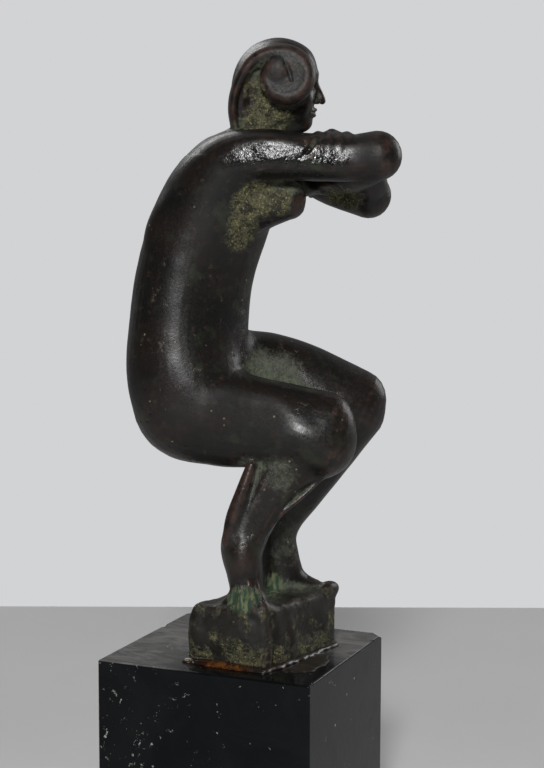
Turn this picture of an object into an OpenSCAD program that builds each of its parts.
// Small cast bronze of a crouching nude with folded arms, bedded in resin on a marble block.
// Millimetres, +Z up. The origin is the centre of the felt's underside.

/* [Block] */
// Width of the block along its front edge
block_w = 50; // [46:1:60]
// Depth of the block, front to back
block_d = 46; // [44:1:56]
// Height of the block
block_h = 45; // [30:1:60]
// Worn chamfer along the block's edges
block_edge = 0.4; // [0.2:0.1:1]

/* [Figure] */
// Turn of the figure about the vertical, from the block's front edge
figure_turn = 23; // [0:1:45]
// Place of the figure along the block's width
figure_x = 2; // [0:0.5:4]
// Place of the figure along the block's depth
figure_y = -3; // [-4:0.5:0]
// Number of sides on a limb
limb_sides = 20; // [12:2:24]
// Rings between two stations of a limb
limb_rings = 3; // [2:1:4]

/* [Adhesive] */
// Thickness of the resin bed under the plinth
bed_t = 0.4; // [0.3:0.1:1]

/* [Fixing] */
// Diameter of the threaded stud
stud_d = 4; // [3:0.5:5]
// Length of the stud inside the plinth
stud_in_plinth = 8; // [5:0.5:9]
// Diameter of the counterbore under the block
recess_d = 18; // [16:1:24]
// Depth of the counterbore
recess_depth = 9; // [8:0.5:12]
// Outside diameter of the washer
washer_d = 12; // [9:0.5:14]
// Thickness of the washer
washer_t = 1; // [0.8:0.1:1.5]
// Nut size across its flats
nut_flats = 7; // [5.5:0.5:8]
// Thickness of the nut
nut_t = 3.2; // [2.4:0.1:4]

/* [Felt] */
// Thickness of the felt pad
felt_t = 1.5; // [1:0.1:3]
// Gap between the felt's edge and the block's edge
felt_inset = 1; // [0:0.5:3]

/* [Hidden] */

block_base = felt_t;
block_top = felt_t + block_h;
plinth_base = block_top + bed_t;
// Gap round the stud in its threaded bore, and on the diameter in its plain passage
stud_clearance = 0.05;
passage_clearance = 0.5;
// How far the stud's end stays above the block's underside
stud_end = 1.5;
// How far the stud's bore runs on beyond its end
bore_spare = 0.5;
// How far a cut runs out past the surface that it opens
overcut = 1;
round_sides = 48;
recess_sides = 64;

// The plinth's corners, seen from above, in the figure's own frame
plinth_foot = [[-11, -8.6], [3.8, -15.2], [18.2, 4.4], [4.4, 10]];
plinth_rim = [[-10, -9.4], [3.6, -14.8], [18.4, 5.6], [5.4, 9.6]];
plinth_h = 12.8;
plinth_round = 1.6;
// The swollen near end of the plinth, and the lip raised at its far front corner
swell_place = [-10.4, -8.4, 6.6];
swell_r = 2.4;
lip_place = [18.2, 5.4, 12.4];
lip_r = [1.8, 2.2, 1.9];
stud_place = [4, -1.5];
// How far the resin bed spreads beyond the plinth's foot
bed_spread = 0.6;
// The old run of resin, in the block's frame
smear_place = [17.5, -8.5];
smear_outline = [[-2.2, -7], [2.4, -5], [3.8, 3], [2.6, 9], [0, 6]];
smear_round = 1.5;
smear_t = 0.3;

// A limb's stations are [x, y, z, radius in the plane of the bend, radius across it].
// +X is where the figure faces, +Y is its left, and z counts from the plinth's underside.
torso = [
    [-13.6, 0, 55, 10.5, 13.5], [-13.3, 0, 62, 12.4, 13.6], [-12.9, 0, 70, 12.9, 12.4],
    [-12.1, 0, 80, 12.8, 11.8], [-10.4, 0, 88, 12.6, 12], [-7.6, 0, 96, 12.6, 12.6],
    [-4, 0, 102.8, 11.6, 12.8], [0.4, 0, 108.6, 9.4, 11], [2.8, 0, 113.2, 6.8, 7.4],
    [4.2, 0, 118, 6, 5.6], [6, 0, 122, 5.6, 5.4]
];
near_thigh = [
    [-13.2, -3, 73, 9, 7.5], [-13.8, -5, 64, 11.4, 8.2], [-11.4, -6.4, 56.2, 11.9, 8.4],
    [-5, -6.8, 53.2, 10.8, 8.2], [2, -6.8, 52, 9.9, 7.4],
    [9, -7, 51.2, 9.4, 7.5], [16.8, -7.2, 50.4, 8.6, 7.2]
];
far_thigh = [
    [-13.2, 3, 74, 9, 7.5], [-13.8, 5, 66, 11.2, 8.2], [-10.4, 6.4, 59.6, 11.6, 8.4],
    [-3, 7, 60.4, 10.6, 8.2], [5, 7.2, 60.4, 9.8, 7.8],
    [13.6, 7.2, 58.4, 8.9, 7.4], [24, 7.2, 54, 8.5, 6.8]
];
near_shin = [
    [16.4, -7.2, 48.8, 7.2, 6.4], [8.8, -7.3, 42.5, 6.7, 5.8], [4.3, -7.8, 36.5, 5.5, 5.2],
    [0.9, -8.6, 30, 4.8, 4.9], [-0.9, -9.4, 25, 4.7, 4.6], [-0.4, -10, 20, 4, 3.9],
    [0.2, -10.4, 15.6, 3.7, 3.6], [0.4, -10.6, 12, 4.6, 4.4]
];
far_shin = [
    [23.8, 7.2, 52.4, 6.8, 6.2], [18.8, 7.1, 43.5, 5.4, 5.4], [13.6, 7, 36, 4.8, 4.8],
    [8, 6.7, 29.5, 5, 4.6], [6.2, 6.4, 24.5, 4.9, 4.3], [6.9, 6.4, 19.5, 4.8, 4.2],
    [7.8, 6.6, 15.6, 4.9, 4.4], [8.2, 6.8, 12, 6, 5.2]
];
near_foot = [[-2.6, -9.8, 12.8, 2.4, 3.4], [0.8, -11.4, 13, 2.6, 3.6], [3.8, -12.6, 12.2, 1.9, 3]];
far_foot = [[7.4, 7.2, 13, 2.6, 3.4], [11.6, 6.4, 13.2, 2.7, 3.4], [15, 5.6, 12.7, 2, 3]];
near_upper_arm = [
    [-8, -5.6, 98, 7.4, 6.6], [-6.8, -7.4, 103.4, 7, 6.4],
    [-2.6, -9.6, 107.8, 6.4, 6], [3.6, -11.6, 109.5, 5.5, 5.4],
    [11, -12, 109.2, 5, 5], [20, -11.8, 108.8, 4.9, 4.8], [27.6, -11, 109.4, 5.2, 5]
];
far_upper_arm = [
    [-8, 5.6, 98, 7.4, 6.6], [-6.8, 7.4, 103.4, 7, 6.4],
    [-2.6, 9.6, 107.6, 6.2, 5.8], [3.6, 11.4, 109, 5.2, 5.2],
    [11, 11.6, 107.4, 4.6, 4.8], [19, 10.6, 103.4, 4.7, 4.7], [26.8, 8.4, 101, 5, 5]
];
near_forearm = [
    [27.4, -11, 109.4, 4.8, 4.8], [25.4, -6, 107, 4.2, 4.2], [20.6, 1, 104.8, 3.8, 3.8],
    [15, 6, 104.6, 3.2, 3.4], [11.6, 9, 103.6, 2.4, 3]
];
far_forearm = [
    [26.8, 8.4, 101.2, 4.6, 4.6], [26, 3.4, 104.8, 4.2, 4.2], [23, -2, 108.4, 3.8, 3.8],
    [19.6, -6.6, 110.6, 2.8, 3.8], [17.6, -9.4, 111.4, 2, 3.8]
];
near_breast = [[0, -5, 99.4, 6.4, 5.4], [4.6, -5.6, 99.4, 5.2, 4.9], [8.6, -5.8, 100, 4.3, 4.4]];
far_breast = [for (s = near_breast) [s[0], -s[1], s[2], s[3], s[4]]];
hair_roll = [
    [-0.6, 0, 116.6, 2.4, 5.6], [-1.2, 0, 121, 2.5, 6.6], [-0.4, 0, 126, 2.6, 7],
    [2.4, 0, 130.2, 2.6, 7], [7, 0, 132.1, 2.6, 6.8], [11.6, 0, 130.4, 2.4, 6.4], [13.6, 0, 127, 1.6, 6]
];
skull_place = [6, 0, 125];
skull_r = [9, 7, 9];
jaw_place = [10.2, 0, 119.4];
jaw_r = [5.2, 4.8, 5.6];
coil_place = [8.2, 7.2, 127];
coil_ring_r = 4.1;
coil_r = 1.9;
// The low dome that fills the middle of a coil, sunk a little below the ring
coil_dome_r = [3, 3.4, 1.9];
coil_dome_sink = 0.4;
torso_egg = 0.2;
finger_r = 1.3;
finger_pitch = 2.4;
// A finger's path over the arm: across it, and up
finger_path = [[-2.5, 0], [1, 0.5], [3.6, -0.9]];
near_fingers_place = [17.4, -11, 112.1];
far_fingers_place = [11, 11, 103.2];

// A point of a smooth curve through b and c
function spline(a, b, c, d, t) =
    0.5 * (2 * b + (c - a) * t + (2 * a - 5 * b + 4 * c - d) * t * t + (3 * b - a - 3 * c + d) * t * t * t);
// A limb's station at s, counted in stations from its start
function station(p, s) =
    let (n = len(p) - 1, i = min(floor(s), n - 1))
    spline(p[max(i - 1, 0)], p[i], p[i + 1], p[min(i + 2, n)], s - i);
function unit(v) = v / norm(v);
function middle(s) = [s[0], s[1], s[2]];
function heading(p, s) =
    let (n = len(p) - 1)
    unit(middle(station(p, min(s + 0.05, n))) - middle(station(p, max(s - 0.05, 0))));
// One ring of points square to the limb; egg narrows its front and widens its back
function ring(at, t, across, sides, egg) =
    let (b = unit(across - (across * t) * t), n = cross(b, t))
    [for (k = [0 : sides - 1])
        let (a = 360 * k / sides)
        middle(at) + at[3] * cos(a) * n + at[4] * sin(a) * (1 - egg * cos(a)) * b];
// The rings of a limb, with rounded ends
function limb_rings_of(p, across, sides, egg) =
    let (n = len(p) - 1, t0 = heading(p, 0), t1 = heading(p, n), tilts = [80, 55, 28])
    concat(
        [for (a = tilts)
            ring(end_station(p[0], -t0, a), t0, across, sides, egg)],
        [for (i = [0 : n * limb_rings])
            ring(station(p, i / limb_rings), heading(p, i / limb_rings), across, sides, egg)],
        [for (i = [2 : -1 : 0])
            ring(end_station(p[n], t1, tilts[i]), t1, across, sides, egg)]
    );
// A ring on the rounded end, tilt degrees on from the last full ring
function end_station(s, out, tilt) =
    let (c = middle(s) + out * min(s[3], s[4]) * sin(tilt))
    [c[0], c[1], c[2], s[3] * cos(tilt), s[4] * cos(tilt)];

// A swept limb
module limb(p, across = [0, 1, 0], sides = limb_sides, egg = 0) {
    rings = limb_rings_of(p, across, sides, egg);
    count = len(rings);
    polyhedron(
        points = [for (r = rings) each r],
        faces = concat(
            [[for (k = [0 : sides - 1]) k]],
            [for (i = [0 : count - 2], k = [0 : sides - 1])
                let (a = i * sides + k, b = i * sides + (k + 1) % sides)
                [a, a + sides, b + sides, b]],
            [[for (k = [sides - 1 : -1 : 0]) (count - 1) * sides + k]]
        )
    );
}

module ball(place, r, sides = 28) {
    translate(place)
        scale(r)
            sphere(r = 1, $fn = sides);
}

// Four fingers laid side by side over the other arm
module fingers(place, side) {
    for (i = [-1.5 : 1 : 1.5])
        limb([
            for (s = finger_path)
                [place[0] + i * finger_pitch, place[1] + side * s[0], place[2] + s[1], finger_r, finger_r]
        ], [1, 0, 0], 6);
}

module hair_coil(side) {
    translate([coil_place[0], side * coil_place[1], coil_place[2]])
        rotate([90, 0, 0]) {
            rotate_extrude($fn = 28)
                translate([coil_ring_r, 0])
                    circle(r = coil_r, $fn = 14);
            ball([0, 0, side * -coil_dome_sink], coil_dome_r, 16);
        }
}

module plinth() {
    hull() {
        for (p = plinth_foot)
            translate([p[0], p[1], 0])
                cylinder(r = plinth_round, h = 1, $fn = 20);
        for (p = plinth_rim)
            translate([p[0], p[1], plinth_h - plinth_round])
                sphere(r = plinth_round, $fn = 20);
        translate(swell_place)
            sphere(r = swell_r, $fn = 20);
    }
    ball(lip_place, lip_r, 16);
}

// The whole casting as one closed skin, in the figure's own frame
module figure_skin() {
    minkowski() {
        union() {
            limb(torso, egg = torso_egg);
            limb(near_thigh);
            limb(far_thigh);
            limb(near_shin, sides = 16);
            limb(far_shin, sides = 16);
            limb(near_foot, sides = 12);
            limb(far_foot, sides = 12);
            limb(near_upper_arm, sides = 16);
            limb(far_upper_arm, sides = 16);
            limb(near_forearm, [0, 0, 1], 14);
            limb(far_forearm, [0, 0, 1], 14);
            limb(near_breast, sides = 14);
            limb(far_breast, sides = 14);
            limb(hair_roll, sides = 16);
            ball(skull_place, skull_r, 24);
            ball(jaw_place, jaw_r, 16);
            hair_coil(-1);
            hair_coil(1);
            fingers(near_fingers_place, -1);
            fingers(far_fingers_place, 1);
            plinth();
        }
    }
}

module in_figure_frame() {
    translate([figure_x, figure_y, plinth_base])
        rotate([0, 0, figure_turn])
            children();
}

module at_stud(z) {
    in_figure_frame()
        translate([stud_place[0], stud_place[1], z - plinth_base])
            children();
}

module figure_casting() {
    color([0.19, 0.14, 0.11])
        difference() {
            in_figure_frame()
                figure_skin();
            at_stud(plinth_base - overcut)
                cylinder(
                    d = stud_d + 2 * stud_clearance,
                    h = overcut + stud_in_plinth + bore_spare,
                    $fn = round_sides
                );
        }
}

module marble_block() {
    color([0.06, 0.06, 0.07])
        difference() {
            hull()
                for (inset = [0, block_edge])
                    translate([0, 0, block_base + block_edge - inset])
                        linear_extrude(height = block_h - 2 * block_edge + 2 * inset)
                            square([block_w - 2 * inset, block_d - 2 * inset], center = true);
            at_stud(block_base - overcut)
                cylinder(d = stud_d + passage_clearance, h = block_h + 2 * overcut, $fn = round_sides);
            at_stud(block_base - overcut)
                cylinder(d = recess_d, h = recess_depth + overcut, $fn = recess_sides);
        }
}

// Hardened resin under the plinth, squeezed out in a bead around its foot
module adhesive_bed() {
    color([0.45, 0.24, 0.08])
        difference() {
            translate([0, 0, block_top])
                linear_extrude(height = bed_t)
                    translate([figure_x, figure_y])
                        rotate(figure_turn)
                            offset(r = plinth_round + bed_spread, $fn = 24)
                                polygon(plinth_foot);
            at_stud(block_top - overcut)
                cylinder(d = stud_d + passage_clearance, h = bed_t + 2 * overcut, $fn = round_sides);
        }
}

// An old run of resin on the block's top, to the right of the plinth
module adhesive_smear() {
    color([0.2, 0.16, 0.12])
        translate([smear_place[0], smear_place[1], block_top])
            linear_extrude(height = smear_t)
                offset(r = smear_round, $fn = 20)
                    polygon(smear_outline);
}

module threaded_stud() {
    color([0.62, 0.6, 0.56])
        at_stud(block_base + stud_end)
            cylinder(
                d = stud_d,
                h = plinth_base + stud_in_plinth - block_base - stud_end,
                $fn = round_sides
            );
}

module washer() {
    color([0.6, 0.6, 0.6])
        difference() {
            at_stud(block_base + recess_depth - washer_t)
                cylinder(d = washer_d, h = washer_t, $fn = round_sides);
            at_stud(block_base)
                cylinder(d = stud_d + passage_clearance, h = recess_depth + overcut, $fn = round_sides);
        }
}

module hex_nut() {
    color([0.7, 0.6, 0.35])
        difference() {
            at_stud(block_base + recess_depth - washer_t - nut_t)
                cylinder(d = nut_flats / cos(30), h = nut_t, $fn = 6);
            at_stud(block_base)
                cylinder(d = stud_d + 2 * stud_clearance, h = recess_depth + overcut, $fn = round_sides);
        }
}

module felt_pad() {
    color([0.05, 0.16, 0.1])
        linear_extrude(height = felt_t)
            square([block_w - 2 * felt_inset, block_d - 2 * felt_inset], center = true);
}

figure_casting();
marble_block();
adhesive_bed();
adhesive_smear();
threaded_stud();
washer();
hex_nut();
felt_pad();
